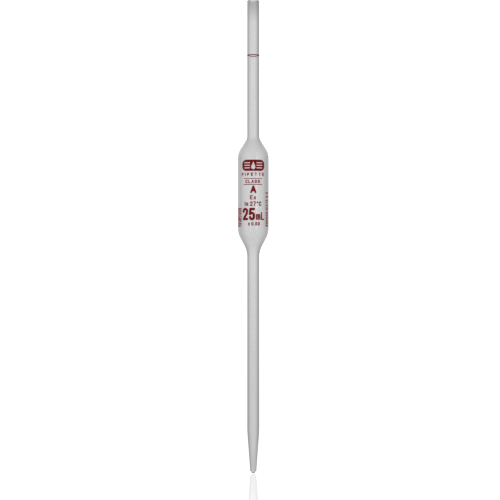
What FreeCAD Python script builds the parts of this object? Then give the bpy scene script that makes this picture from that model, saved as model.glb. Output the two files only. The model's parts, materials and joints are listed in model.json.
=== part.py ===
import FreeCAD, Part
import math
import os
import re
import Sketcher
from FreeCAD import Placement, Rotation, Vector

# Volumetric pipette for 25 mL, one mark, made to deliver.
#
# Frame: +Z runs up the pipette's axis, the origin is the centre of the jet's outlet, and the
# lettering faces -Y. Everything is in millimetres.
#
# The glass is four lengths welded end to end: jet, delivery tube, bulb and suction tube. Each
# marking is a thin layer of fired enamel on the outside of the glass. The height of the ring
# mark isn't chosen: it is worked out from the capacity, so that the glass below it holds it.

GLASS = {
    "stem_radius": 4.27,
    "stem_bore": 3.0,
    "bulb_radius": 10.9,
    "bulb_wall": 1.236,
    "outlet_bore": 0.55,
    "outlet_face_radius": 0.95,
    "capillary_length": 5.0,
    "bevel_height": 1.6,
    "bevel_radius": 2.19,
    "taper_top": 29.3,
    "jet_weld": 32.0,
    "lower_weld": 150.4,
    "lower_neck": 156.65,
    "lower_neck_rounding": 16.9,
    "lower_shoulder_angle": 28.0,
    "lower_shoulder_rounding": 16.2,
    "upper_shoulder_angle": 32.3,
    "upper_shoulder_rounding": 12.0,
    "upper_neck": 236.0,
    "upper_neck_rounding": 7.3,
    "upper_weld": 240.6,
    "mouth_height": 333.4,
    "mouth_rounding": 0.5,
}

CAPACITY = {"capacity_ml": 25.0}

ENAMEL = {
    "print_thickness": 0.04,
    "upper_rule_height": 207.2,
    "lower_rule_height": 203.1,
    "panel_width": 15.3,
    "panel_height": 7.9,
    "panel_corner": 2.8,
    "panel_base": 212.5,
    "panel_turn": -1.6,
    "drop_radius": 1.45,
    "drop_height": 5.4,
    "bar_length": 3.4,
    "bar_width": 0.6,
    "bar_pitch": 1.8,
    "bar_offset": 4.3,
}

# The level bands: turn is the direction of a band's middle, in degrees to the right of -Y.
BANDS = {
    "ring_mark": dict(width=0.6, thickness=0.07, arc=360.0, turn=0.0),
    "upper_rule": dict(width=0.46, thickness=0.04, arc=72.5, turn=-1.6),
    "lower_rule": dict(width=0.54, thickness=0.04, arc=72.5, turn=-1.6),
}

# One printed line per entry: the words, then its dimensions. span is the length of the line
# along the glass, letter_width is that of a skeleton in cap heights, baseline is the height of
# the line's foot, and turn is the direction of its middle, as for a band.
LEVEL_LINES = {
    "title_print": ("PIPETTE", dict(
        cap=2.3, stroke=0.58, span=17.1, letter_width=0.58, baseline=209.05, turn=-2.2)),
    "class_print": ("CLASS", dict(
        cap=2.4, stroke=0.56, span=10.6, letter_width=0.66, baseline=204.0, turn=-2.5)),
    "class_letter": ("A", dict(
        cap=5.4, stroke=1.3, span=4.3, letter_width=0.76, baseline=196.95, turn=-0.8)),
    "delivery_print": ("Ex", dict(
        cap=3.0, stroke=0.64, span=4.4, letter_width=0.60, baseline=192.6, turn=-1.2)),
    "temperature_print": ("In 27°C", dict(
        cap=3.2, stroke=0.70, span=12.3, letter_width=0.50, baseline=188.05, turn=-1.4)),
    "capacity_digits": ("25", dict(
        cap=8.7, stroke=1.75, span=9.4, letter_width=0.38, baseline=178.1, turn=-18.0)),
    "capacity_unit": ("mL", dict(
        cap=5.6, stroke=1.0, span=6.6, letter_width=0.42, baseline=178.3, turn=27.0)),
    "tolerance_print": ("± 0.03", dict(
        cap=2.5, stroke=0.60, span=8.5, letter_width=0.50, baseline=174.4, turn=2.2)),
}

# Lines that read upwards: baseline is the height of the line's left end, and turn is the
# direction of the middle of its letters.
UPRIGHT_LINES = {
    "left_side_print": [
        ("CALIBRATED", dict(
            cap=2.7, stroke=0.54, span=13.4, letter_width=0.34, baseline=173.5, turn=-73.0)),
        ("TO DELIVER", dict(
            cap=2.7, stroke=0.56, span=13.4, letter_width=0.36, baseline=173.5, turn=-56.0)),
    ],
    "right_side_print": [
        ("BOROSILICATE 3.3", dict(
            cap=3.2, stroke=0.60, span=24.2, letter_width=0.36, baseline=173.8, turn=61.5)),
    ],
}

SPACE_WIDTH = 0.12
QUARTER_TURN = math.tan(math.radians(90) / 4)

# Skeletons of the printed letters, one cap height tall and w wide. Each is a list of strokes.
# A point is (x, y) or (x, y, bulge): with a bulge, the run to the next point is an arc, and the
# bulge is its depth over half its chord, positive where the arc turns anticlockwise.
SKELETONS = {
    "A": lambda w: [[(0, 0), (w / 2, 1), (w, 0)], [(w * 0.17, 0.32), (w * 0.83, 0.32)]],
    "B": lambda w: [[(0, 0), (0, 1)],
                    [(0, 1), (w - 0.24, 1, -1), (w - 0.24, 0.52), (0, 0.52)],
                    [(0, 0.52), (w - 0.26, 0.52, -1), (w - 0.26, 0), (0, 0)]],
    "C": lambda w: [[(w, 0.74, 0.52 / w), (0, 0.74), (0, 0.26, 0.52 / w), (w, 0.26)]],
    "D": lambda w: [[(0, 0), (0, 1)],
                    [(0, 1), (w - 0.3, 1, -QUARTER_TURN), (w, 0.7), (w, 0.3, -QUARTER_TURN),
                     (w - 0.3, 0), (0, 0)]],
    "E": lambda w: [[(w, 0), (0, 0), (0, 1), (w, 1)], [(0, 0.52), (w * 0.85, 0.52)]],
    "I": lambda w: [[(0, 0), (0, 1)]],
    "L": lambda w: [[(0, 1), (0, 0), (w, 0)]],
    "O": lambda w: [[(0, w / 2), (0, 1 - w / 2, -1), (w, 1 - w / 2)],
                    [(w, 1 - w / 2), (w, w / 2, -1), (0, w / 2)]],
    "P": lambda w: [[(0, 0), (0, 1)],
                    [(0, 1), (w - 0.27, 1, -1), (w - 0.27, 0.46), (0, 0.46)]],
    "R": lambda w: [[(0, 0), (0, 1)],
                    [(0, 1), (w - 0.27, 1, -1), (w - 0.27, 0.46), (0, 0.46)],
                    [(w - 0.27, 0.46), (w, 0)]],
    "S": lambda w: [[(w, 0.78, 0.46 / w), (0, 0.75, 0.4), (w / 2, 0.5, -0.4), (w, 0.25, -0.46 / w),
                     (0, 0.22)]],
    "T": lambda w: [[(0, 1), (w, 1)], [(w / 2, 1), (w / 2, 0)]],
    "V": lambda w: [[(0, 1), (w / 2, 0), (w, 1)]],
    "x": lambda w: [[(0, 0), (w * 0.8, 0.68)], [(0, 0.68), (w * 0.8, 0)]],
    "n": lambda w: [[(0, 0), (0, 0.7)], [(0, 0.7 - w * 0.4, -1), (w * 0.8, 0.7 - w * 0.4), (w * 0.8, 0)]],
    "m": lambda w: [[(0, 0), (0, 0.7)],
                    [(0, 0.7 - w * 0.3, -1), (w * 0.6, 0.7 - w * 0.3), (w * 0.6, 0)],
                    [(w * 0.6, 0.7 - w * 0.3, -1), (w * 1.2, 0.7 - w * 0.3), (w * 1.2, 0)]],
    "0": lambda w: [[(0, w / 2), (0, 1 - w / 2, -1), (w, 1 - w / 2)],
                    [(w, 1 - w / 2), (w, w / 2, -1), (0, w / 2)]],
    "2": lambda w: [[(0, 0.74, -0.52 / w), (w, 0.74, -0.15), (w * 0.78, 0.46), (0, 0), (w, 0)]],
    "3": lambda w: [[(0, 0.78, -0.46 / w), (w, 0.75, -0.5), (w * 0.45, 0.53)],
                    [(w * 0.45, 0.53, -0.5), (w, 0.27, -0.5 / w), (0, 0.22)]],
    "5": lambda w: [[(w, 1), (w * 0.1, 1), (0, 0.5, -0.7), (w, 0.42), (w, 0.22, -0.42 / w), (0, 0.19)]],
    "7": lambda w: [[(0, 1), (w, 1), (w * 0.35, 0)]],
    "°": lambda w: [[(0, 0.88, -1), (0.24, 0.88)], [(0.24, 0.88, -1), (0, 0.88)]],
    "±": lambda w: [[(0, 0.56), (w, 0.56)], [(w / 2, 0.86), (w / 2, 0.26)], [(0, 0.02), (w, 0.02)]],
    ".": lambda w: [[(0, 0), (0, 0.05)]],
}


def make_sheet(doc):
    """The spreadsheet of driving dimensions: a name in column A, its number in column B."""
    sheet = doc.addObject("Spreadsheet::Sheet", "Dimensions")
    groups = {**BANDS}
    groups.update({name: sizes for name, (_, sizes) in LEVEL_LINES.items()})
    for name, lines in UPRIGHT_LINES.items():
        groups.update({f"{name}_{line}": sizes for line, (_, sizes) in enumerate(lines, 1)})
    cells = {**GLASS, **CAPACITY, **ENAMEL}
    for name, sizes in groups.items():
        cells.update({f"{name}_{key}": value for key, value in sizes.items()})
    for row, (alias, value) in enumerate(cells.items(), 1):
        sheet.set(f"A{row}", alias)
        sheet.set(f"B{row}", str(value))
        sheet.setAlias(f"B{row}", alias)
    doc.recompute()
    return sheet


def with_sheet(expression):
    """Puts the sheet's name before each alias of an expression such as 'bulb_radius - bulb_wall'."""
    return re.sub(r"\b([a-z][a-z_0-9]*)\b(?!\()", r"Dimensions.\1", expression)


def turned_body(doc, name, outline):
    """A Body turned about Z from a closed outline of (radius, height) expressions.

    A height of None lies on the X axis, the level of the jet's outlet.
    """
    body = doc.addObject("PartDesign::Body", name)
    body.Label = name
    sketch = body.newObject("Sketcher::SketchObject", f"{name}_outline")
    plane = next(plane for plane in body.Origin.OriginFeatures if plane.Role == "XZ_Plane")
    sketch.AttachmentSupport = [(plane, "")]
    sketch.MapMode = "FlatFace"
    corners = [
        Vector(number(doc, radius), number(doc, height) if height else 0.0, 0)
        for radius, height in outline
    ]
    for start, end in zip(corners, corners[1:] + corners[:1]):
        sketch.addGeometry(Part.LineSegment(start, end))
    for line, (radius, height) in enumerate(outline):
        following = (line + 1) % len(outline)
        sketch.addConstraint(Sketcher.Constraint("Coincident", line, 2, following, 1))
        bind(sketch, Sketcher.Constraint("DistanceX", -1, 1, line, 1, corners[line].x), radius)
        if height:
            bind(sketch, Sketcher.Constraint("DistanceY", -1, 1, line, 1, corners[line].y), height)
        else:
            sketch.addConstraint(Sketcher.Constraint("PointOnObject", line, 1, -1))
    turned = body.newObject("PartDesign::Revolution", f"{name}_turned")
    turned.Profile = sketch
    turned.ReferenceAxis = (sketch, ["V_Axis"])
    turned.Angle = 360
    doc.recompute()
    return body


def bind(sketch, constraint, expression):
    """Adds a constraint whose value follows an expression over the sheet."""
    index = sketch.addConstraint(constraint)
    sketch.setExpression(f"Constraints[{index}]", with_sheet(expression))


def number(doc, expression):
    """What an expression over the sheet comes to now, as a plain number."""
    value = doc.Dimensions.evalExpression(with_sheet(expression))
    return getattr(value, "Value", value)


def round_ring(doc, body, corner, radius):
    """Rounds the circular edge that a (radius, height) corner of the outline sweeps."""
    ring_radius, ring_height = (number(doc, part) if part else 0.0 for part in corner)
    base = body.Tip
    edges = [
        f"Edge{index}"
        for index, edge in enumerate(base.Shape.Edges, 1)
        if isinstance(edge.Curve, Part.Circle)
        and abs(edge.Curve.Radius - ring_radius) < 0.01
        and abs(edge.Curve.Center.z - ring_height) < 0.01
    ]
    rounding = body.newObject("PartDesign::Fillet", f"{body.Name}_rounding")
    rounding.Base = (base, edges)
    rounding.setExpression("Radius", with_sheet(radius))
    doc.recompute()


def make_jet(doc):
    """The drawn tip: a heavy wall that narrows to a ground and bevelled outlet."""
    outline = [
        ("outlet_bore", None),
        ("outlet_face_radius", None),
        ("bevel_radius", "bevel_height"),
        ("stem_radius", "taper_top"),
        ("stem_radius", "jet_weld"),
        ("stem_bore", "jet_weld"),
        ("stem_bore", "taper_top"),
        ("outlet_bore", "capillary_length"),
    ]
    return turned_body(doc, "jet", outline)


def make_delivery_tube(doc):
    """The straight stem from the jet up to the bulb."""
    outline = [
        ("stem_bore", "jet_weld"),
        ("stem_radius", "jet_weld"),
        ("stem_radius", "lower_weld"),
        ("stem_bore", "lower_weld"),
    ]
    return turned_body(doc, "delivery_tube", outline)


def make_bulb(doc):
    """The barrel with a sloping shoulder and a short neck at each end.

    Its inside runs parallel to its outside: at a shoulder of angle a, a corner of the inside
    lies wall * tan(a / 2) below the corner of the outside.
    """
    lower_rise = "(bulb_radius - stem_radius) / tan(lower_shoulder_angle)"
    upper_rise = "(bulb_radius - stem_radius) / tan(upper_shoulder_angle)"
    lower_shift = "bulb_wall * tan(lower_shoulder_angle / 2)"
    upper_shift = "bulb_wall * tan(upper_shoulder_angle / 2)"
    barrel_bottom = f"lower_neck + {lower_rise}"
    barrel_top = f"upper_neck - {upper_rise}"
    bulb_bore = "bulb_radius - bulb_wall"
    outer_corners = {
        ("stem_radius", "lower_neck"): "lower_neck_rounding",
        ("bulb_radius", barrel_bottom): "lower_shoulder_rounding",
        ("bulb_radius", barrel_top): "upper_shoulder_rounding",
        ("stem_radius", "upper_neck"): "upper_neck_rounding",
    }
    inner_corners = {
        ("stem_bore", f"upper_neck - {upper_shift}"): "upper_neck_rounding + bulb_wall",
        (bulb_bore, f"{barrel_top} - {upper_shift}"): "upper_shoulder_rounding - bulb_wall",
        (bulb_bore, f"{barrel_bottom} + {lower_shift}"): "lower_shoulder_rounding - bulb_wall",
        ("stem_bore", f"lower_neck + {lower_shift}"): "lower_neck_rounding + bulb_wall",
    }
    outline = [
        ("stem_radius", "lower_weld"),
        *outer_corners,
        ("stem_radius", "upper_weld"),
        ("stem_bore", "upper_weld"),
        *inner_corners,
        ("stem_bore", "lower_weld"),
    ]
    body = turned_body(doc, "bulb", outline)
    for corner, radius in {**outer_corners, **inner_corners}.items():
        round_ring(doc, body, corner, radius)
    return body


def make_suction_tube(doc):
    """The stem above the bulb, fire-polished round at its mouth."""
    outer_lip = ("stem_radius", "mouth_height")
    inner_lip = ("stem_bore", "mouth_height")
    outline = [("stem_bore", "upper_weld"), ("stem_radius", "upper_weld"), outer_lip, inner_lip]
    body = turned_body(doc, "suction_tube", outline)
    round_ring(doc, body, outer_lip, "mouth_rounding")
    round_ring(doc, body, inner_lip, "mouth_rounding")
    return body


def cavity_volume(body):
    """The space inside a turned glass piece between its two ends."""
    box = body.Shape.BoundBox
    plug = Part.makeCylinder(box.XMax, box.ZLength, Vector(0, 0, box.ZMin))
    return min(plug.cut(body.Shape).Solids, key=lambda piece: piece.BoundBox.XLength).Volume


def mark_height(doc, glass_below):
    """The height at which the capacity is reached, measured up from the outlet."""
    held = sum(cavity_volume(body) for body in glass_below)
    missing = 1000 * number(doc, "capacity_ml") - held
    return number(doc, "upper_weld") + missing / (math.pi * number(doc, "stem_bore") ** 2)


def enamel_band(doc, name, radius, height):
    """A level band of enamel on the glass: a whole ring, or an arc whose middle faces its turn."""
    pieces = []
    for layer, layer_radius in (("outside", f"{radius} + {name}_thickness"), ("inside", radius)):
        cylinder = doc.addObject("Part::Cylinder", f"{name}_{layer}")
        cylinder.setExpression("Radius", with_sheet(layer_radius))
        cylinder.setExpression("Height", with_sheet(f"{name}_width"))
        cylinder.setExpression("Angle", with_sheet(f"{name}_arc"))
        pieces.append(cylinder)
    band = doc.addObject("Part::Cut", name)
    band.Label = name
    band.Base, band.Tool = pieces
    foot = Vector(0, 0, height - number(doc, f"{name}_width") / 2)
    facing = number(doc, f"{name}_turn") - 90 - number(doc, f"{name}_arc") / 2
    band.Placement = Placement(foot, Rotation(Vector(0, 0, 1), facing))
    return band


def stroke_face(points, width):
    """A flat face in the XZ plane: the line through the points, thickened with round ends."""
    edges = []
    for start, end in zip(points, points[1:]):
        first = Vector(start[0], 0, start[1])
        last = Vector(end[0], 0, end[1])
        bulge = start[2] if len(start) > 2 else 0
        if bulge:
            chord = last - first
            depth = Vector(chord.z, 0, -chord.x) * (bulge / 2)
            edges.append(Part.Arc(first, (first + last) * 0.5 + depth, last).toShape())
        else:
            edges.append(Part.LineSegment(first, last).toShape())
    if len(edges) == 1 and isinstance(edges[0].Curve, Part.Line):
        return straight_stroke_face(first, last, width)
    return Part.Wire(edges).makeOffset2D(width / 2, 0, True, False)


def straight_stroke_face(first, last, width):
    """One straight run with a half circle at each end."""
    along = (last - first).normalize() * (width / 2)
    side = Vector(-along.z, 0, along.x)
    edges = [
        Part.LineSegment(first + side, last + side).toShape(),
        Part.Arc(last + side, last + along, last - side).toShape(),
        Part.LineSegment(last - side, first - side).toShape(),
        Part.Arc(first - side, first - along, first + side).toShape(),
    ]
    return Part.Face(Part.Wire(edges))


def letter_faces(letter, cap, stroke, letter_width):
    """The strokes of one letter, standing on z = 0 and centred on x = 0, and its width."""
    reach = cap - stroke
    strokes = SKELETONS[letter](letter_width)
    scaled = [
        [(x * reach, y * reach + stroke / 2, *bulge) for x, y, *bulge in points]
        for points in strokes
    ]
    faces = [stroke_face(points, stroke) for points in scaled]
    box = Part.Compound(faces).BoundBox
    for face in faces:
        face.translate(Vector(-box.Center.x, 0, 0))
    return faces, box.XLength


def wrap_on_bulb(doc, face):
    """Lays a flat face, seen from -Y, on the barrel as a layer of enamel."""
    inner = number(doc, "bulb_radius")
    outer = inner + number(doc, "print_thickness")
    box = face.BoundBox
    foot = Vector(0, 0, box.ZMin - 1)
    length = box.ZLength + 2
    layer = Part.makeCylinder(outer, length, foot).cut(Part.makeCylinder(inner, length, foot))
    prism = face.copy()
    prism.translate(Vector(0, -outer, 0))
    return prism.extrude(Vector(0, outer, 0)).common(layer)


def print_line(doc, name, words):
    """The letters of one line, spaced evenly over its span.

    Returns the strokes of each letter and how far along the line it stands from the middle.
    """
    cap, stroke, span, letter_width = (
        number(doc, f"{name}_{key}") for key in ("cap", "stroke", "span", "letter_width")
    )
    letters = []
    for letter in words:
        if letter == " ":
            letters.append(([], SPACE_WIDTH * cap))
        else:
            letters.append(letter_faces(letter, cap, stroke, letter_width))
    gap = (span - sum(width for _, width in letters)) / max(len(letters) - 1, 1)
    places = []
    along = -span / 2
    for faces, width in letters:
        places.append((faces, along + width / 2))
        along += width + gap
    return places


def level_print(doc, name, words):
    """A line that reads round the barrel."""
    baseline = number(doc, f"{name}_baseline")
    turn = number(doc, f"{name}_turn")
    solids = []
    for faces, along in print_line(doc, name, words):
        angle = turn + math.degrees(along / number(doc, "bulb_radius"))
        for face in faces:
            face.translate(Vector(0, 0, baseline))
        solids += on_barrel(doc, faces, angle)
    return solids


def upright_print(doc, name, words):
    """A line that reads up the barrel, its letters lying on their backs."""
    baseline = number(doc, f"{name}_baseline")
    turn = number(doc, f"{name}_turn")
    cap = number(doc, f"{name}_cap")
    span = number(doc, f"{name}_span")
    solids = []
    for faces, along in print_line(doc, name, words):
        for face in faces:
            face.translate(Vector(0, 0, -cap / 2))
            face.rotate(Vector(0, 0, 0), Vector(0, -1, 0), 90)
            face.translate(Vector(0, 0, baseline + span / 2 + along))
        solids += on_barrel(doc, faces, turn)
    return solids


def on_barrel(doc, faces, angle):
    """The strokes of one letter as one piece of enamel, turned to its angle from -Y."""
    if not faces:
        return []
    layers = [wrap_on_bulb(doc, face) for face in faces]
    whole = layers[0].multiFuse(layers[1:]).removeSplitter() if len(layers) > 1 else layers[0]
    whole.rotate(Vector(0, 0, 0), Vector(0, 0, 1), angle)
    return whole.Solids


def panel_face(doc):
    """The generic panel: a rounded rectangle with a drop and three bars each side left clear."""
    width, height, corner, base = (
        number(doc, f"panel_{key}") for key in ("width", "height", "corner", "base")
    )
    inset_x = width / 2 - corner
    inset_z = height / 2 - corner
    core = [(-inset_x, -inset_z), (inset_x, -inset_z), (inset_x, inset_z), (-inset_x, inset_z)]
    points = [Vector(x, 0, z) for x, z in core]
    panel = Part.Wire(Part.makePolygon(points + points[:1])).makeOffset2D(corner, 0, False, False)
    face = Part.Face(panel)
    for cutout in [drop_face(doc), *bar_faces(doc)]:
        face = face.cut(cutout)
    face.translate(Vector(0, 0, base + height / 2))
    return face


def drop_face(doc):
    """A drop: a round foot with two straight flanks that meet in a point."""
    radius = number(doc, "drop_radius")
    height = number(doc, "drop_height")
    centre_z = radius - height / 2
    tip = Vector(0, 0, height / 2)
    lean = math.asin(radius / (tip.z - centre_z))
    touch_x = radius * math.cos(lean)
    touch_z = centre_z + radius * math.sin(lean)
    foot = Vector(0, 0, centre_z - radius)
    right = Vector(touch_x, 0, touch_z)
    left = Vector(-touch_x, 0, touch_z)
    edges = [
        Part.LineSegment(tip, left).toShape(),
        Part.Arc(left, foot, right).toShape(),
        Part.LineSegment(right, tip).toShape(),
    ]
    return Part.Face(Part.Wire(edges))


def bar_faces(doc):
    """Three level bars each side of the drop, like the graduations of a scale."""
    length, width, pitch, offset = (
        number(doc, f"bar_{key}") for key in ("length", "width", "pitch", "offset")
    )
    faces = []
    for side in (-1, 1):
        for step in (-1, 0, 1):
            middle = side * offset
            level = step * pitch
            ends = [(middle - length / 2, level), (middle + length / 2, level)]
            faces.append(stroke_face(ends, width))
    return faces


def add_feature(doc, name, solids):
    """A sub-part whose shape is a group of enamel solids."""
    feature = doc.addObject("Part::Feature", name)
    feature.Label = name
    feature.Shape = Part.Compound(solids) if len(solids) > 1 else solids[0]
    feature.Placement = Placement()
    return feature


def check(doc, parts):
    """Stops if any object failed to recompute or any sub-part has no sound shape."""
    for item in doc.Objects:
        if {"Invalid", "Error"} & set(item.State):
            raise RuntimeError(f"{item.Name} did not recompute: {item.State}")
    for part in parts:
        if part.Shape.isNull() or not part.Shape.isValid() or not part.Shape.Solids:
            raise RuntimeError(f"{part.Label} has no valid solid")


def main():
    doc = FreeCAD.newDocument("volumetric_pipette")
    make_sheet(doc)
    jet = make_jet(doc)
    delivery_tube = make_delivery_tube(doc)
    bulb = make_bulb(doc)
    suction_tube = make_suction_tube(doc)
    ring_height = mark_height(doc, [jet, delivery_tube, bulb])
    parts = [suction_tube, bulb, delivery_tube, jet]

    parts.append(enamel_band(doc, "ring_mark", "stem_radius", ring_height))
    for name in ("upper_rule", "lower_rule"):
        parts.append(enamel_band(doc, name, "bulb_radius", number(doc, f"{name}_height")))
    panel = on_barrel(doc, [panel_face(doc)], number(doc, "panel_turn"))
    parts.append(add_feature(doc, "maker_panel", panel))
    for name, (words, _) in LEVEL_LINES.items():
        parts.append(add_feature(doc, name, level_print(doc, name, words)))
    for name, lines in UPRIGHT_LINES.items():
        solids = []
        for line, (words, _) in enumerate(lines, 1):
            solids += upright_print(doc, f"{name}_{line}", words)
        parts.append(add_feature(doc, name, solids))

    doc.recompute()
    check(doc, parts)
    os.makedirs("parts", exist_ok=True)
    for part in parts:
        part.Shape.exportStep(f"parts/{part.Label}.step")
        print(f"{part.Label}: {len(part.Shape.Solids)} solids, {part.Shape.Volume:.2f} mm3")
    print(f"ring mark at {ring_height:.2f} mm for {number(doc, 'capacity_ml'):.1f} mL")


main()
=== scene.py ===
import json
import math

import bmesh
import bpy
from mathutils import Matrix, Vector


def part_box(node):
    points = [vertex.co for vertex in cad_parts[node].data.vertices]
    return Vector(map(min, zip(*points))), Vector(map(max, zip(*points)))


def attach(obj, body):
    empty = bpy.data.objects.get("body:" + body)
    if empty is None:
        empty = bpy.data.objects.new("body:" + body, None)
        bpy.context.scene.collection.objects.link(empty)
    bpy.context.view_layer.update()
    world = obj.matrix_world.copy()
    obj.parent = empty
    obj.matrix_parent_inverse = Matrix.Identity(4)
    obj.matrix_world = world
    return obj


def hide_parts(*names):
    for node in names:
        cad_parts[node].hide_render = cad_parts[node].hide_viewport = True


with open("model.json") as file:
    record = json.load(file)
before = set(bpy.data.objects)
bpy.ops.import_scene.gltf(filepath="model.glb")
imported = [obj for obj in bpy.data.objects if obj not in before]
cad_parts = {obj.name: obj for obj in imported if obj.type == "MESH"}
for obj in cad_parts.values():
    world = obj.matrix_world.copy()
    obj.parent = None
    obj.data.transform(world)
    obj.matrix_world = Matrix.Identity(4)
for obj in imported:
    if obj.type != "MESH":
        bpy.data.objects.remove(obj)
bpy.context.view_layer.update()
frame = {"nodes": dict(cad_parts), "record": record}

# Volumetric pipette. The four lengths of glass are turned here, finely enough to refract well,
# from the frame's radii and heights. The enamel markings are the frame's own pieces, in an
# enamel finish. Lengths are in metres.

MM = 0.001
UPRIGHT = math.radians(90)

# From the frame: the stem's radii from its mounts, the rest from the boxes of the glass.
MOUNTS = {mount["name"]: mount for mount in frame["record"]["mounts"]}
STEM_RADIUS = MOUNTS["stem_grip"]["dims"]["r_mm"] * MM
STEM_BORE = MOUNTS["suction_bore"]["dims"]["r_mm"] * MM
BULB_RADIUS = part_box("bulb")[1].x
JET_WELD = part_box("jet")[1].z
LOWER_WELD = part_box("bulb")[0].z
UPPER_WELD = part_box("bulb")[1].z
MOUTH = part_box("suction_tube")[1].z

# The bulb's wall and shoulders, which the frame's boxes don't give. A neck is the height where
# the shoulder's slope would meet the stem, and a shoulder's angle is measured from the axis.
BULB_WALL = 1.236 * MM
LOWER_NECK = 156.65 * MM
LOWER_NECK_ROUNDING = 16.9 * MM
LOWER_SHOULDER_ANGLE = math.radians(28.0)
LOWER_SHOULDER_ROUNDING = 16.2 * MM
UPPER_NECK = 236.0 * MM
UPPER_NECK_ROUNDING = 7.3 * MM
UPPER_SHOULDER_ANGLE = math.radians(32.3)
UPPER_SHOULDER_ROUNDING = 12.0 * MM

# The two ends. The outlet's bore, its flat face and the bevel round it are given by their radii.
MOUTH_ROUNDING = 0.55 * MM
OUTLET_BORE = 0.55 * MM
OUTLET_FACE = 0.95 * MM
OUTLET_ROUNDING = 0.12 * MM
BEVEL_RADIUS = 2.19 * MM
BEVEL_HEIGHT = 1.6 * MM
BEVEL_ROUNDING = 2 * OUTLET_ROUNDING
CAPILLARY_TOP = 5.0 * MM
TAPER_TOP = 29.3 * MM
TAPER_ROUNDING = 60.0 * MM
TAPER_BORE_ROUNDING = TAPER_ROUNDING / 2

# How the glass is meshed. The gap keeps the two faces of a weld out of one plane.
SEGMENTS = 144
ARC_STEP = math.radians(2.5)
FEWEST_ARC_STEPS = 2
LONGEST_ROW = 6 * MM
SHARP_TURN = math.radians(24)
WELD_GAP = 0.001 * MM

# The kinds of face on the glass, which are its material slots. A face is level if its normal's
# upright part is over LEVEL_NORMAL.
OUTSIDE, BORE, WELD, GROUND = range(4)
LEVEL_NORMAL = 0.999


# ---------------------------------------------------------------- outlines

def arc(before, corner, after, rounding):
    """The points of the arc that rounds a corner, on the way from one point to another."""
    incoming = (corner - before).normalized()
    turn = incoming.angle_signed(after - corner)
    start = corner - incoming * rounding * math.tan(abs(turn) / 2)
    towards_centre = Vector((incoming.y, -incoming.x)) * math.copysign(1, turn)
    centre = start + towards_centre * rounding
    steps = max(FEWEST_ARC_STEPS, math.ceil(abs(turn) / ARC_STEP))
    points = []
    for step in range(steps + 1):
        spoke = start - centre
        spoke.rotate(Matrix.Rotation(-turn * step / steps, 2))
        points.append(centre + spoke)
    return points


def rounded(corners):
    """A closed outline through (radius, height, rounding) corners, with its roundings as arcs."""
    points = []
    for index, (radius, height, rounding) in enumerate(corners):
        corner = Vector((radius, height))
        if rounding:
            before = Vector(corners[index - 1][:2])
            after = Vector(corners[(index + 1) % len(corners)][:2])
            points += arc(before, corner, after, rounding)
        else:
            points.append(corner)
    return points


def jet_outline():
    return rounded([
        (OUTLET_BORE, 0, OUTLET_ROUNDING),
        (OUTLET_FACE, 0, OUTLET_ROUNDING),
        (BEVEL_RADIUS, BEVEL_HEIGHT, BEVEL_ROUNDING),
        (STEM_RADIUS, TAPER_TOP, TAPER_ROUNDING),
        (STEM_RADIUS, JET_WELD - WELD_GAP, 0),
        (STEM_BORE, JET_WELD - WELD_GAP, 0),
        (STEM_BORE, TAPER_TOP, TAPER_BORE_ROUNDING),
        (OUTLET_BORE, CAPILLARY_TOP, 0),
    ])


def delivery_tube_outline():
    return rounded([
        (STEM_BORE, JET_WELD, 0),
        (STEM_RADIUS, JET_WELD, 0),
        (STEM_RADIUS, LOWER_WELD - WELD_GAP, 0),
        (STEM_BORE, LOWER_WELD - WELD_GAP, 0),
    ])


def bulb_outline():
    """The barrel, its shoulders and its necks, with an inside that runs parallel to the outside."""
    swell = BULB_RADIUS - STEM_RADIUS
    barrel_bottom = LOWER_NECK + swell / math.tan(LOWER_SHOULDER_ANGLE)
    barrel_top = UPPER_NECK - swell / math.tan(UPPER_SHOULDER_ANGLE)
    lower_shift = BULB_WALL * math.tan(LOWER_SHOULDER_ANGLE / 2)
    upper_shift = BULB_WALL * math.tan(UPPER_SHOULDER_ANGLE / 2)
    bore = BULB_RADIUS - BULB_WALL
    return rounded([
        (STEM_RADIUS, LOWER_WELD, 0),
        (STEM_RADIUS, LOWER_NECK, LOWER_NECK_ROUNDING),
        (BULB_RADIUS, barrel_bottom, LOWER_SHOULDER_ROUNDING),
        (BULB_RADIUS, barrel_top, UPPER_SHOULDER_ROUNDING),
        (STEM_RADIUS, UPPER_NECK, UPPER_NECK_ROUNDING),
        (STEM_RADIUS, UPPER_WELD - WELD_GAP, 0),
        (STEM_BORE, UPPER_WELD - WELD_GAP, 0),
        (STEM_BORE, UPPER_NECK - upper_shift, UPPER_NECK_ROUNDING + BULB_WALL),
        (bore, barrel_top - upper_shift, UPPER_SHOULDER_ROUNDING - BULB_WALL),
        (bore, barrel_bottom + lower_shift, LOWER_SHOULDER_ROUNDING - BULB_WALL),
        (STEM_BORE, LOWER_NECK + lower_shift, LOWER_NECK_ROUNDING + BULB_WALL),
        (STEM_BORE, LOWER_WELD, 0),
    ])


def suction_tube_outline():
    return rounded([
        (STEM_BORE, UPPER_WELD, 0),
        (STEM_RADIUS, UPPER_WELD, 0),
        (STEM_RADIUS, MOUTH, MOUTH_ROUNDING),
        (STEM_BORE, MOUTH, MOUTH_ROUNDING),
    ])


# ---------------------------------------------------------------- meshes

def link_mesh(name, mesh):
    """Turns a finished bmesh into an object of the scene."""
    data = bpy.data.meshes.new(name)
    mesh.to_mesh(data)
    mesh.free()
    piece = bpy.data.objects.new(name, data)
    bpy.context.scene.collection.objects.link(piece)
    return piece


def with_rows(points):
    """The same outline with its long straight runs cut into shorter ones."""
    cut = []
    for start, end in zip(points, points[1:] + points[:1]):
        cuts = math.ceil((end - start).length / LONGEST_ROW)
        cut += [start.lerp(end, step / cuts) for step in range(cuts)]
    return cut


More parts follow.
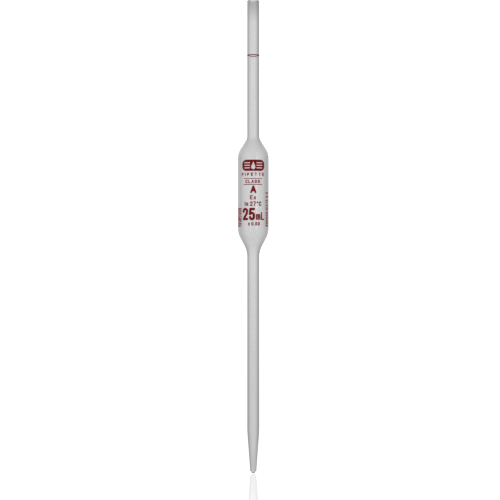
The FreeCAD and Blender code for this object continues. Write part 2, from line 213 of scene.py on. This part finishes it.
def add_ring(mesh, point):
    """The vertices that a point of the outline leaves as it is turned about Z."""
    angles = (2 * math.pi * segment / SEGMENTS for segment in range(SEGMENTS))
    return [
        mesh.verts.new((point.x * math.cos(angle), point.x * math.sin(angle), point.y))
        for angle in angles
    ]


def add_band(mesh, start, end):
    """The faces between two rings."""
    for segment in range(SEGMENTS):
        beside = (segment + 1) % SEGMENTS
        face = mesh.faces.new((start[segment], start[beside], end[beside], end[segment]))
        face.smooth = True


def crease(mesh, ring):
    """Makes the edges of a ring sharp."""
    for corner, beside in zip(ring, ring[1:] + ring[:1]):
        mesh.edges.get((corner, beside)).smooth = False


def turned(name, outline, weld_heights):
    """A closed ring of glass: the outline turned about Z, with a slot for each kind of face."""
    outline = with_rows(outline)
    mesh = bmesh.new()
    rings = [add_ring(mesh, point) for point in outline]
    for start, end in zip(rings, rings[1:] + rings[:1]):
        add_band(mesh, start, end)
    bmesh.ops.recalc_face_normals(mesh, faces=mesh.faces)
    for face in mesh.faces:
        face.material_index = glass_slot(face, weld_heights)
    for index, ring in enumerate(rings):
        incoming = outline[index] - outline[index - 1]
        outgoing = outline[(index + 1) % len(outline)] - outline[index]
        if abs(incoming.angle_signed(outgoing)) > SHARP_TURN:
            crease(mesh, ring)
    return link_mesh(name, mesh)


def glass_slot(face, weld_heights):
    """The kind of a face, from where it is and which way it looks."""
    centre = face.calc_center_median()
    level = abs(face.normal.z) > LEVEL_NORMAL
    if level and any(abs(centre.z - weld) < 2 * WELD_GAP for weld in weld_heights):
        return WELD
    if face.normal.x * centre.x + face.normal.y * centre.y < 0:
        return BORE
    return GROUND if centre.z < BEVEL_HEIGHT else OUTSIDE


# ---------------------------------------------------------------- node helpers

# In these helpers, owner is what holds the nodes: a material or the world.

# Most of a noise lies between these two values.
NOISE_LOW = 0.3
NOISE_HIGH = 0.7


def new_material(name):
    """A material with nodes, and its Principled shader."""
    material = bpy.data.materials.new(name)
    material.use_nodes = True
    return material, material.node_tree.nodes["Principled BSDF"]


def feed(owner, source, target):
    """Gives an input a plain value, or links it to another node's output."""
    if isinstance(source, bpy.types.NodeSocket):
        owner.node_tree.links.new(source, target)
    else:
        target.default_value = source


def add_node(owner, kind, **inputs):
    """A new node. Its inputs are named with underscores for spaces."""
    node = owner.node_tree.nodes.new(kind)
    for name, source in inputs.items():
        feed(owner, source, node.inputs[name.replace("_", " ")])
    return node


def ramp(owner, value, start, end, low, high, smooth=False):
    """A value that goes from low to high while another goes from start to end."""
    limits = {"From_Min": start, "From_Max": end, "To_Min": low, "To_Max": high}
    node = add_node(owner, "ShaderNodeMapRange", Value=value, **limits)
    node.interpolation_type = "SMOOTHSTEP" if smooth else "LINEAR"
    return node.outputs["Result"]


def product(owner, *factors):
    """Factors multiplied together, each a node's output or a plain number."""
    total = factors[0]
    for factor in factors[1:]:
        node = owner.node_tree.nodes.new("ShaderNodeMath")
        node.operation = "MULTIPLY"
        feed(owner, total, node.inputs[0])
        feed(owner, factor, node.inputs[1])
        total = node.outputs[0]
    return total


def split_vector(owner, source):
    """A vector's three components."""
    return add_node(owner, "ShaderNodeSeparateXYZ", Vector=source).outputs


def object_place(owner):
    """Where the shaded point is on its object."""
    return add_node(owner, "ShaderNodeTexCoord").outputs["Object"]


def noise(owner, place, scale, detail):
    """A noise between 0 and 1, whose scale is its features to a unit of place."""
    node = add_node(owner, "ShaderNodeTexNoise", Vector=place, Scale=scale, Detail=detail)
    return node.outputs["Fac"]


def radius_and_height(owner):
    """How far the shaded point is from the axis, and how far up it."""
    split = split_vector(owner, object_place(owner))
    across = add_node(owner, "ShaderNodeCombineXYZ", X=split["X"], Y=split["Y"])
    length = owner.node_tree.nodes.new("ShaderNodeVectorMath")
    length.operation = "LENGTH"
    feed(owner, across.outputs["Vector"], length.inputs[0])
    return length.outputs["Value"], split["Z"]


# ---------------------------------------------------------------- glass

GLASS_IOR = 1.47
BORE_TINT = 0.95
GROUND_TINT = 0.56
GROUND_ROUGHNESS = 0.35

# The outside's grey at its palest, the painted shade that multiplies it at the outline of the
# stem and of the bulb, and the facing values between which that painted shade sets in. Facing is
# 0 where the surface faces the eye and 1 at its outline, which is what a blend of PLAIN_FACING
# gives.
OUTSIDE_TINT = 0.52
TUBE_RIM_PAINTED_SHADE = 0.33
BULB_RIM_PAINTED_SHADE = 0.50
RIM_PAINTED_SHADE_STARTS = 0.05
RIM_PAINTED_SHADE_ENDS = 0.42
PLAIN_FACING = 0.5

# What multiplies the painted rim shade on the shoulders, to lift it there, in full where the
# normal leans this much.
SLOPE_PAINTED_SHADE_LIFT = 1.5
SLOPE_LEAN = 0.5

# The streaks are this many to a metre across the axis and along it.
STREAK_SCALE = (900, 900, 30)
STREAK_DETAIL = 2.0
STREAK_DEPTH = 0.04

# The painted shade that multiplies the grey at the two ends, and how far along the glass it reaches.
MOUTH_PAINTED_SHADE = 0.80
MOUTH_PAINTED_SHADE_DEPTH = 17 * MM
TIP_PAINTED_SHADE = 0.90
TIP_PAINTED_SHADE_ENDS = 6 * MM
TIP_PAINTED_SHADE_STARTS = 20 * MM


def glass_material(name):
    material, shader = new_material(name)
    shader.inputs["Transmission Weight"].default_value = 1.0
    shader.inputs["IOR"].default_value = GLASS_IOR
    shader.inputs["Roughness"].default_value = 0.0
    return material, shader


def mouth_painted_shade(material, height):
    """Painted shade: the glass is made greyer towards its mouth."""
    return ramp(material, height, MOUTH - MOUTH_PAINTED_SHADE_DEPTH, MOUTH, 1.0, MOUTH_PAINTED_SHADE, smooth=True)


def tip_painted_shade(material, height):
    """Painted shade: the glass is made greyer towards its tip."""
    return ramp(material, height, TIP_PAINTED_SHADE_ENDS, TIP_PAINTED_SHADE_STARTS, TIP_PAINTED_SHADE, 1.0, smooth=True)


def slope_painted_shade_lift(material):
    """How much the painted shade at the outline is lifted where the surface slopes, as on the
    shoulders.
    """
    normal = add_node(material, "ShaderNodeTexCoord").outputs["Normal"]
    lean = material.node_tree.nodes.new("ShaderNodeMath")
    lean.operation = "ABSOLUTE"
    feed(material, split_vector(material, normal)["Z"], lean.inputs[0])
    return ramp(material, lean.outputs[0], 0.0, SLOPE_LEAN, 1.0, SLOPE_PAINTED_SHADE_LIFT)


def rim_painted_shade(material, radius):
    """The painted shade that deepens the grey towards the outline, less so on the bulb than on the
    stem.
    """
    facing = add_node(material, "ShaderNodeLayerWeight", Blend=PLAIN_FACING).outputs["Facing"]
    deepest_painted_shade = ramp(material, radius, STEM_RADIUS, BULB_RADIUS, TUBE_RIM_PAINTED_SHADE, BULB_RIM_PAINTED_SHADE)
    deepest_painted_shade = product(material, deepest_painted_shade, slope_painted_shade_lift(material))
    return ramp(material, facing, RIM_PAINTED_SHADE_STARTS, RIM_PAINTED_SHADE_ENDS, 1.0, deepest_painted_shade)


def draw_streaks(material):
    """Faint lines along the axis, left by drawing the hot glass out."""
    place = object_place(material)
    stretched = add_node(material, "ShaderNodeMapping", Vector=place, Scale=STREAK_SCALE)
    streaks = noise(material, stretched.outputs["Vector"], 1.0, STREAK_DETAIL)
    return ramp(material, streaks, NOISE_LOW, NOISE_HIGH, 1 - STREAK_DEPTH, 1 + STREAK_DEPTH)


def outside_material():
    """The outside of the wall, whose grey is deepened by painted shade towards the outline and the
    two ends.
    """
    material, shader = glass_material("drawn_glass")
    radius, height = radius_and_height(material)
    # ends: the painted shade at the mouth and at the tip.
    ends = product(material, mouth_painted_shade(material, height), tip_painted_shade(material, height))
    streaks = draw_streaks(material)
    tint_and_painted_shade = product(material, rim_painted_shade(material, radius), ends, streaks, OUTSIDE_TINT)
    feed(material, tint_and_painted_shade, shader.inputs["Base Color"])
    return material


def bore_material():
    """The inside of the wall, nearly clear, with painted shade towards the mouth."""
    material, shader = glass_material("bore_glass")
    height = radius_and_height(material)[1]
    # The tint carries the painted shade towards the mouth.
    tint_and_painted_shade = product(material, mouth_painted_shade(material, height), BORE_TINT)
    feed(material, tint_and_painted_shade, shader.inputs["Base Color"])
    return material


def ground_material():
    """The bevel and the outlet's face, ground on a wheel and left a little matt."""
    material, shader = glass_material("ground_glass")
    shader.inputs["Base Color"].default_value = (GROUND_TINT, GROUND_TINT, GROUND_TINT, 1)
    shader.inputs["Roughness"].default_value = GROUND_ROUGHNESS
    return material


def weld_material():
    """The face where two lengths of glass are melted together, which light doesn't notice."""
    material, shader = new_material("melted_weld")
    shader.inputs["Alpha"].default_value = 0.0
    return material


def make_glass():
    """The four lengths of glass, each in place of the frame's plain one."""
    finishes = {
        OUTSIDE: outside_material(),
        BORE: bore_material(),
        WELD: weld_material(),
        GROUND: ground_material(),
    }
    lengths = {
        "jet": (jet_outline(), [JET_WELD]),
        "delivery_tube": (delivery_tube_outline(), [JET_WELD, LOWER_WELD]),
        "bulb": (bulb_outline(), [LOWER_WELD, UPPER_WELD]),
        "suction_tube": (suction_tube_outline(), [UPPER_WELD]),
    }
    for name, (outline, weld_heights) in lengths.items():
        piece = turned(f"{name}_glass", outline, weld_heights)
        for slot in sorted(finishes):
            piece.data.materials.append(finishes[slot])
        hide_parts(name)
        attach(piece, "root")


# ---------------------------------------------------------------- enamel

# Of each coat, the red and its darker patches.
FULL_COAT = ((0.150, 0.002, 0.006, 1), (0.115, 0.001, 0.004, 1))
THIN_COAT = ((0.185, 0.003, 0.010, 1), (0.150, 0.002, 0.007, 1))
FULL_COAT_PIECES = ("maker_panel", "class_letter", "capacity_digits", "capacity_unit")

# The patches, and the orange peel of the gloss. The scales are to a metre.
PATCH_SCALE = 1500
PATCH_DETAIL = 3.0
PATCH_STARTS = 0.4
PATCH_ENDS = 0.6
PEEL_SCALE = 6000
PEEL_DETAIL = 1.0
PEEL_STRENGTH = 0.15
PEEL_DEPTH = 0.01 * MM
ENAMEL_SPECULAR = 0.06
ENAMEL_SMOOTHEST = 0.25
ENAMEL_ROUGHEST = 0.45


def mixed_reds(material, place, reds):
    """A red with soft patches of a darker one."""
    patches = noise(material, place, PATCH_SCALE, PATCH_DETAIL)
    mix = material.node_tree.nodes.new("ShaderNodeMix")
    mix.data_type = "RGBA"
    ends = [socket for socket in mix.inputs if socket.type == "RGBA"]
    for socket, red in zip(ends, reds):
        socket.default_value = red
    share = ramp(material, patches, PATCH_STARTS, PATCH_ENDS, 0.0, 1.0)
    feed(material, share, mix.inputs["Factor"])
    return next(socket for socket in mix.outputs if socket.type == "RGBA")


def enamel_material(name, reds):
    """Fired enamel: a deep red that is a little uneven, with a fine orange-peel gloss."""
    material, shader = new_material(name)
    place = object_place(material)
    feed(material, mixed_reds(material, place, reds), shader.inputs["Base Color"])
    peel = noise(material, place, PEEL_SCALE, PEEL_DETAIL)
    roughness = ramp(material, peel, NOISE_LOW, NOISE_HIGH, ENAMEL_SMOOTHEST, ENAMEL_ROUGHEST)
    feed(material, roughness, shader.inputs["Roughness"])
    shader.inputs["Specular IOR Level"].default_value = ENAMEL_SPECULAR
    relief = {"Strength": PEEL_STRENGTH, "Distance": PEEL_DEPTH, "Height": peel}
    bump = add_node(material, "ShaderNodeBump", **relief)
    feed(material, bump.outputs["Normal"], shader.inputs["Normal"])
    return material


def finish_enamel():
    """The panel, the A, the 25 and the mL get a full coat, and the rest of the enamel a thin one."""
    full_coat = enamel_material("fired_enamel", FULL_COAT)
    thin_coat = enamel_material("thin_enamel", THIN_COAT)
    slots = {part["node"]: part["material_slot"] for part in frame["record"]["subparts"]}
    for name, piece in frame["nodes"].items():
        if slots[name] == "enamel":
            piece.data.materials.clear()
            piece.data.materials.append(full_coat if name in FULL_COAT_PIECES else thin_coat)


# ---------------------------------------------------------------- floor, light and camera

# How bright the floor and the white all round look in polished glass, where 1 is in full.
MIRROR_SHARE = 0.5

# The floor, a little under the tip.
FLOOR_HEIGHT = -0.35 * MM
FLOOR_HALF_SIDE = 6.0
FLOOR_SQUARES = 8
FLOOR_GLOW = 1.06
FLOOR_IOR = 1.5
FLOOR_ROUGHNESS = 0.02

# The brightness of the white all round, on its two sides.
TENT_LEFT = 1.45
TENT_RIGHT = 1.12

# The strip light. Its brightness is on the scale of the white all round.
STRIP_DISTANCE = 1.0
STRIP_AZIMUTH = math.radians(25)
STRIP_WIDTH = 0.10
STRIP_HEIGHT = 0.8
STRIP_BRIGHTNESS = 2.0

# The camera, level and a little left of the axis.
CAMERA_LENS = 85
CAMERA_DISTANCE = 2.5 * MOUTH
CAMERA_HEIGHT = 0.472 * MOUTH
CAMERA_OFFSET = -2.3 * MM

# How many times a ray may bounce, and how many of those chance can't cut off.
MOST_BOUNCES = 48
GLOSSY_BOUNCES = 32
SURE_BOUNCES = 16


def mirror_share(owner):
    """How bright a thing looks: in full, or to a ray that polished glass mirrors, in part."""
    ray = add_node(owner, "ShaderNodeLightPath").outputs
    mirrored = product(owner, ray["Is Singular Ray"], ray["Is Reflection Ray"])
    return ramp(owner, mirrored, 0.0, 1.0, 1.0, MIRROR_SHARE)


def acrylic_material():
    """White acrylic, lit from below and polished above."""
    material = new_material("lit_acrylic")[0]
    share = mirror_share(material)
    strength = product(material, share, FLOOR_GLOW)
    glow = add_node(material, "ShaderNodeEmission", Strength=strength)
    polish = add_node(material, "ShaderNodeBsdfGlossy", Color=share, Roughness=FLOOR_ROUGHNESS)
    fresnel = add_node(material, "ShaderNodeFresnel", IOR=FLOOR_IOR)
    both = material.node_tree.nodes.new("ShaderNodeMixShader")
    for source, target in zip((fresnel, glow, polish), both.inputs):
        feed(material, source.outputs[0], target)
    surface = material.node_tree.nodes["Material Output"].inputs["Surface"]
    feed(material, both.outputs[0], surface)
    return material


def make_floor():
    """A flat sheet of the acrylic."""
    mesh = bmesh.new()
    squares = {"x_segments": FLOOR_SQUARES, "y_segments": FLOOR_SQUARES}
    bmesh.ops.create_grid(mesh, size=FLOOR_HALF_SIDE, **squares)
    floor = link_mesh("floor", mesh)
    floor.location.z = FLOOR_HEIGHT
    floor.data.materials.append(acrylic_material())


def make_tent():
    """White all round, and a little brighter on the left."""
    world = bpy.data.worlds.new("tent")
    bpy.context.scene.world = world
    world.use_nodes = True
    world.cycles.sampling_method = "NONE"
    direction = add_node(world, "ShaderNodeTexCoord").outputs["Generated"]
    side = split_vector(world, direction)["X"]
    brightness = ramp(world, side, -1.0, 1.0, TENT_LEFT, TENT_RIGHT)
    strength = product(world, brightness, mirror_share(world))
    background = world.node_tree.nodes["Background"]
    background.inputs["Color"].default_value = (1, 1, 1, 1)
    feed(world, strength, background.inputs["Strength"])


def make_strip_light():
    """A tall narrow light to the right of the camera, which draws one thin line down the glass."""
    data = bpy.data.lights.new("strip", "AREA")
    data.shape = "RECTANGLE"
    data.size = STRIP_WIDTH
    data.size_y = STRIP_HEIGHT
    data.energy = STRIP_BRIGHTNESS * math.pi * STRIP_WIDTH * STRIP_HEIGHT
    strip = bpy.data.objects.new("strip", data)
    strip.location.x = STRIP_DISTANCE * math.sin(STRIP_AZIMUTH)
    strip.location.y = -STRIP_DISTANCE * math.cos(STRIP_AZIMUTH)
    strip.location.z = MOUTH / 2
    strip.rotation_euler = (UPRIGHT, 0, STRIP_AZIMUTH)
    strip.visible_camera = False
    bpy.context.scene.collection.objects.link(strip)


def make_camera():
    data = bpy.data.cameras.new("camera")
    data.lens = CAMERA_LENS
    camera = bpy.data.objects.new("camera", data)
    camera.location = (CAMERA_OFFSET, -CAMERA_DISTANCE, CAMERA_HEIGHT)
    camera.rotation_euler = (UPRIGHT, 0, 0)
    bpy.context.scene.collection.objects.link(camera)
    bpy.context.scene.camera = camera


def set_light_paths():
    """Enough bounces for light to cross every wall of glass in its way."""
    cycles = bpy.context.scene.cycles
    cycles.max_bounces = MOST_BOUNCES
    cycles.transmission_bounces = MOST_BOUNCES
    cycles.transparent_max_bounces = MOST_BOUNCES
    cycles.glossy_bounces = GLOSSY_BOUNCES
    cycles.min_light_bounces = SURE_BOUNCES
    cycles.min_transparent_bounces = SURE_BOUNCES


bpy.context.scene.view_settings.view_transform = "Standard"
set_light_paths()
make_camera()
make_tent()
make_strip_light()
make_floor()
make_glass()
finish_enamel()
